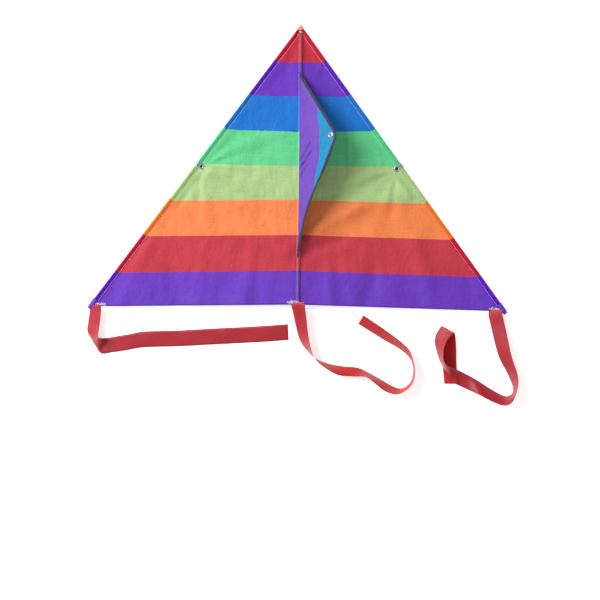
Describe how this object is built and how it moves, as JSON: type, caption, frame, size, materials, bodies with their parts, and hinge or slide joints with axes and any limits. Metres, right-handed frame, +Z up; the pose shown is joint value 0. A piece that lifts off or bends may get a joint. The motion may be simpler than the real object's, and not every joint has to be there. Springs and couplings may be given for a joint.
{
  "type": "delta kite",
  "caption": "Small striped delta kite, laid keel side up: cloth sail on glass-fibre rods, cross spreader in vinyl sockets, bound cloth keel with a tow eyelet, and ribbon tails.",
  "frame": {"origin": "middle of the kite's footprint on the floor it lies on", "axes": "+Z up from the floor, +Y towards the nose along the spine, +X towards the right wing tip"},
  "size_m": [0.7262, 0.6371, 0.07],
  "materials": {
    "sail_cloth": "coated taffeta printed in eight rainbow stripes",
    "channel_cloth": "folded sail cloth",
    "nose_cloth": "matt tape",
    "keel_cloth": "coated taffeta, violet with a blue edge",
    "binding_tape": "black woven binding",
    "tail_ribbon": "red woven ribbon with a low sheen",
    "white_thread": "white sewing thread",
    "fibreglass_rod": "black pultruded glass-fibre",
    "end_cap": "soft vinyl",
    "clear_vinyl": "clear vinyl tube",
    "eyelet_metal": "plated, satin"
  },
  "bodies": {
    "spine": {"spine_rod": "fibreglass_rod", "spine_pocket": "channel_cloth", "spine_tail_cap": "end_cap", "spine_nose_cap": "end_cap", "nose_patch": "nose_cloth", "centre_bartack": "white_thread"},
    "left_wing": {"left_sail": "sail_cloth", "left_sleeve": "sail_cloth", "left_edge_spar": "fibreglass_rod", "left_spar_nose_cap": "end_cap", "left_spar_tip_cap": "end_cap", "left_eyelet": "eyelet_metal", "left_connector": "clear_vinyl", "left_tip_bartack": "white_thread"},
    "right_wing": {"right_sail": "sail_cloth", "right_sleeve": "sail_cloth", "right_edge_spar": "fibreglass_rod", "right_spar_nose_cap": "end_cap", "right_spar_tip_cap": "end_cap", "right_eyelet": "eyelet_metal", "right_connector": "clear_vinyl", "right_tip_bartack": "white_thread"},
    "spreader": {"spreader_rod": "fibreglass_rod", "left_socket": "clear_vinyl", "right_socket": "clear_vinyl"},
    "keel": {"keel_panel": "keel_cloth", "keel_binding": "binding_tape", "tow_eyelet": "eyelet_metal"},
    "left_tail": {"left_tail": "tail_ribbon"},
    "middle_tail": {"middle_tail": "tail_ribbon"},
    "right_tail": {"right_tail": "tail_ribbon"}
  },
  "joints": [
    {"name": "left_wing_fold", "type": "hinge", "parent": "spine", "child": "left_wing", "pos_m": [-0.0031, 0, 0.0122], "axis": [0, 1, 0], "range_deg": [0, 80]},
    {"name": "right_wing_fold", "type": "hinge", "parent": "spine", "child": "right_wing", "pos_m": [0.0031, 0, 0.0122], "axis": [0, -1, 0], "range_deg": [0, 80]},
    {"name": "spreader_swing", "type": "hinge", "parent": "left_wing", "child": "spreader", "pos_m": [-0.1665, 0.081, 0.0025], "axis": [0, 0, 1], "range_deg": [0, 53.5]},
    {"name": "keel_stand", "type": "hinge", "parent": "spine", "child": "keel", "pos_m": [0, 0, 0.0176], "axis": [0, -1, 0], "range_deg": [0, 40]},
    {"name": "left_tail_swing", "type": "hinge", "parent": "left_wing", "child": "left_tail", "pos_m": [-0.342, -0.1655, 0.0008], "axis": [1, 0, 0], "range_deg": [-90, 0]},
    {"name": "middle_tail_swing", "type": "hinge", "parent": "spine", "child": "middle_tail", "pos_m": [0, -0.1545, 0.0122], "axis": [1, 0, 0], "range_deg": [-90, 0]},
    {"name": "right_tail_swing", "type": "hinge", "parent": "right_wing", "child": "right_tail", "pos_m": [0.342, -0.1655, 0.0008], "axis": [1, 0, 0], "range_deg": [-90, 0]}
  ],
  "couplings": [
    {"joint": "keel_stand", "follows": "right_wing_fold", "ratio": 0.5}
  ]
}
